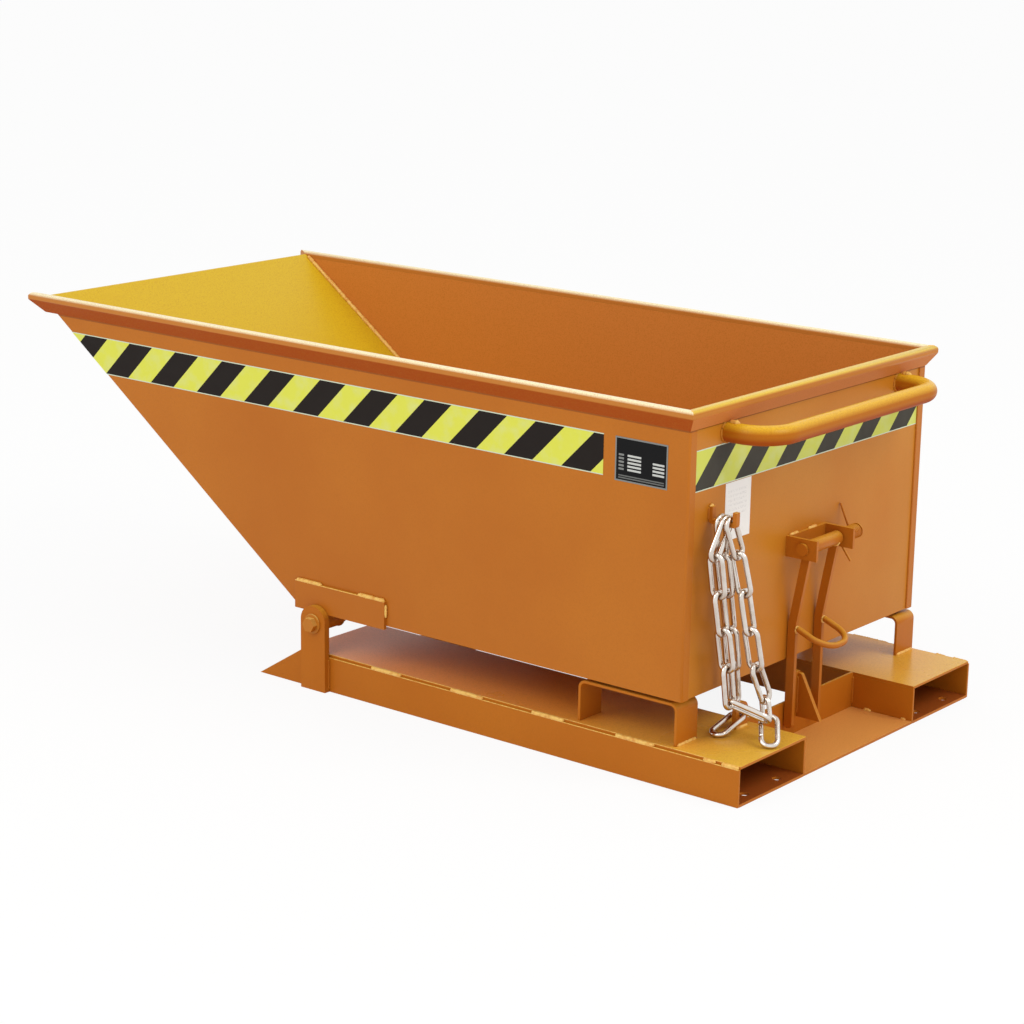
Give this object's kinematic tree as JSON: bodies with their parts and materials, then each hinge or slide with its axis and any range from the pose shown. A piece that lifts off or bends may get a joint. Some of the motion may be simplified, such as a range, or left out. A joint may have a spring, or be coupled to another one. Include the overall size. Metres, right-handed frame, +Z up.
{
  "type": "forklift tipping skip",
  "caption": "Sheet-steel tipping skip with a sloped chute, on a base frame with fork pockets, with a rear push handle, foot latch and safety chain.",
  "frame": {"origin": "on the floor under the middle of the whole part's box", "axes": "+X forward, the way that the skip tips; +Y to the left side; +Z up"},
  "size_m": [1.676, 0.8, 0.64],
  "materials": {
    "orange_paint": "semi-gloss paint",
    "zinc": "bright zinc plating",
    "pad_rubber": "matte",
    "type_plate": "matte foil",
    "hazard_tape": "striped foil",
    "paper": "matte paper"
  },
  "bodies": {
    "base": {"left_pocket_outer_wall": "orange_paint", "left_pocket_inner_wall": "orange_paint", "left_pocket_lid": "orange_paint", "left_pocket_floor": "orange_paint", "left_pocket_nose": "orange_paint", "left_pivot_upright": "orange_paint", "left_pivot_bolt": "orange_paint", "left_rest_strap": "orange_paint", "right_pocket_outer_wall": "orange_paint", "right_pocket_inner_wall": "orange_paint", "right_pocket_lid": "orange_paint", "right_pocket_floor": "orange_paint", "right_pocket_nose": "orange_paint", "right_pivot_upright": "orange_paint", "right_pivot_bolt": "orange_paint", "right_rest_strap": "orange_paint", "rear_cross_plate": "orange_paint", "rear_upstand": "orange_paint", "front_cross_plate": "orange_paint", "front_upstand": "orange_paint", "pivot_washers": "orange_paint", "pivot_nuts": "orange_paint", "rest_pads": "pad_rubber", "latch_catch": "orange_paint", "catch_gusset": "orange_paint", "chain_lug": "orange_paint", "anchor_link": "zinc"},
    "skip": {"left_side_wall": "orange_paint", "left_rim_rail": "orange_paint", "left_pivot_bar": "orange_paint", "left_pivot_bush": "orange_paint", "left_hazard_tape": "hazard_tape", "right_side_wall": "orange_paint", "right_rim_rail": "orange_paint", "right_pivot_bar": "orange_paint", "right_pivot_bush": "orange_paint", "right_hazard_tape": "hazard_tape", "rear_wall": "orange_paint", "floor_plate": "orange_paint", "chute_plate": "orange_paint", "rear_rim_rail": "orange_paint", "push_handle": "orange_paint", "chain_hook": "orange_paint", "latch_bracket": "orange_paint", "latch_pin": "orange_paint", "spring_retainer": "orange_paint", "latch_spring": "orange_paint", "type_plate": "type_plate", "rear_hazard_tape": "hazard_tape", "paper_label": "paper"},
    "latch": {"latch_sleeve": "orange_paint", "left_lever_arm": "orange_paint", "right_lever_arm": "orange_paint", "pedal_loop": "orange_paint"},
    "chain": {"hung_chain": "zinc", "snap_hook": "zinc"},
    "gate": {"snap_hook_gate": "zinc"}
  },
  "joints": [
    {"name": "skip_tip", "type": "hinge", "parent": "base", "child": "skip", "pos_m": [0.087, 0, 0.126], "axis": [0, 1, 0], "range_deg": [0, 70]},
    {"name": "latch_swing", "type": "hinge", "parent": "skip", "child": "latch", "pos_m": [-0.748, 0.008, 0.355], "axis": [0, 1, 0], "range_deg": [0, 35], "stiffness_Nm_per_rad": 2, "springref_deg": -22.92},
    {"name": "chain_swing", "type": "hinge", "parent": "skip", "child": "chain", "pos_m": [-0.7445, 0.3, 0.44314], "axis": [-1, 0, 0], "range_deg": [0, 20]},
    {"name": "gate_swing", "type": "hinge", "parent": "chain", "child": "gate", "pos_m": [-0.80414, 0.26161, 0.08723], "axis": [0.3399, -0.4679, -0.8158], "range_deg": [0, 20], "stiffness_Nm_per_rad": 0.05, "springref_deg": -17.19}
  ]
}
